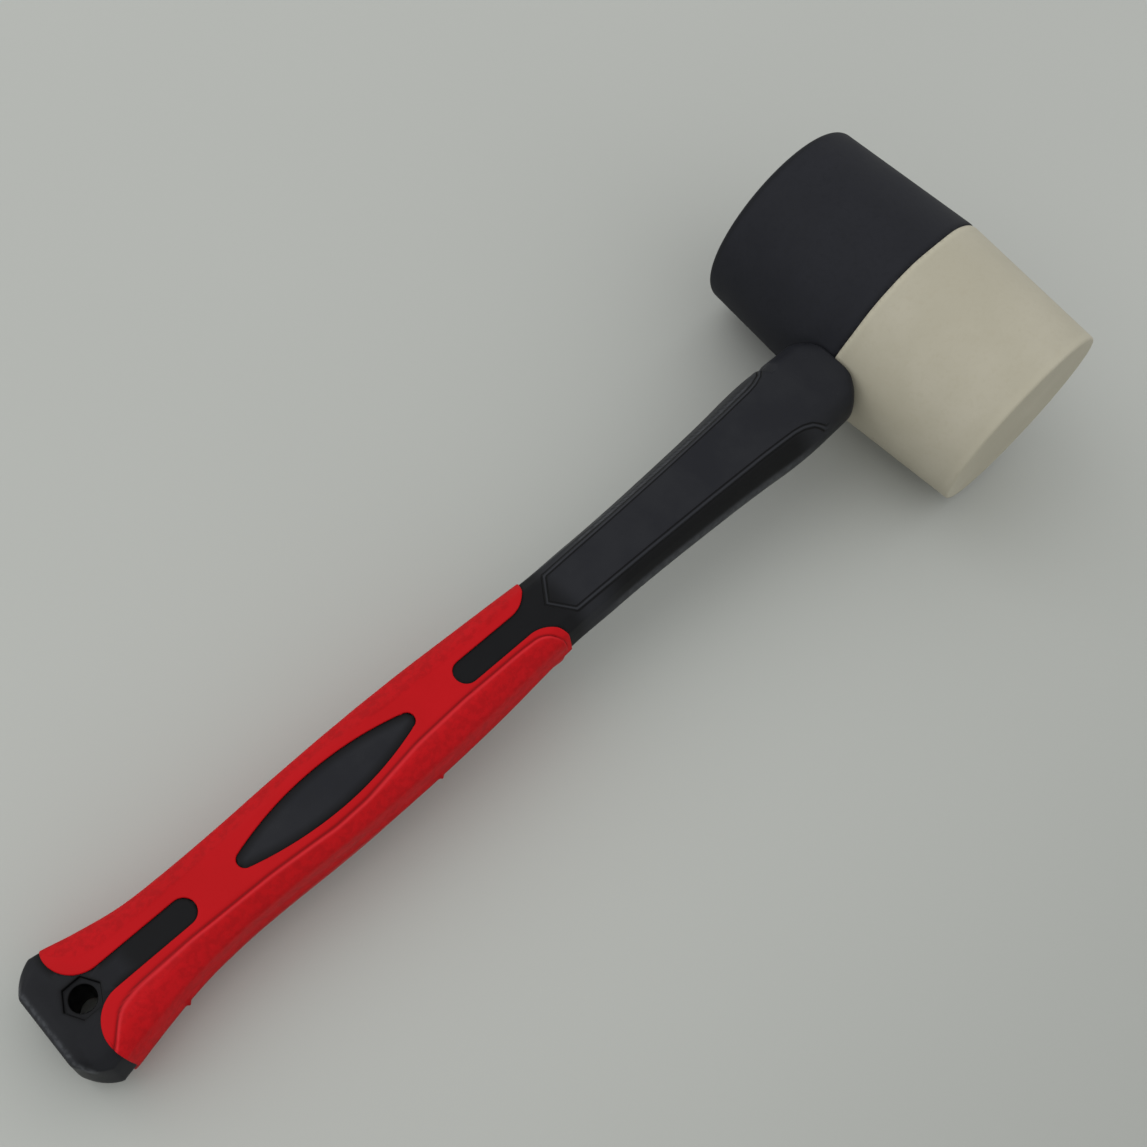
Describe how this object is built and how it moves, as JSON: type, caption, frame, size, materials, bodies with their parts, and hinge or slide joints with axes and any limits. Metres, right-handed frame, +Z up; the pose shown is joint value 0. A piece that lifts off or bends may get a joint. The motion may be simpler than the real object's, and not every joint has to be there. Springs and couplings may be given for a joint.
{
  "type": "rubber mallet",
  "caption": "Two-faced rubber mallet: black and white barrel head on a fibreglass handle with a black jacket and a red windowed grip.",
  "frame": {"origin": "centre of the overall box's footprint, on the floor that the mallet lies on; the handle's middle plane is y = 0", "axes": "+Z up, as the mallet lies on a floor; +X from the butt towards the head, in plan; +Y along the head's axis towards the black face. The handle rises towards the head by its rest tilt of 4.440 degrees"},
  "size_m": [0.3019, 0.0874, 0.06],
  "materials": {
    "black_rubber": "matte moulded carbon-filled rubber",
    "white_rubber": "matte off-white non-marking rubber",
    "fibreglass": "pultruded glass fibre in resin, sawn end",
    "resin": "poured black epoxy",
    "black_jacket": "satin moulded polypropylene",
    "red_grip": "matte moulded thermoplastic rubber"
  },
  "bodies": {
    "root": {"black_head_half": "black_rubber", "white_head_half": "white_rubber", "fibreglass_core": "fibreglass", "eye_resin": "resin", "handle_jacket": "black_jacket", "grip_sleeve": "red_grip"}
  },
  "joints": []
}
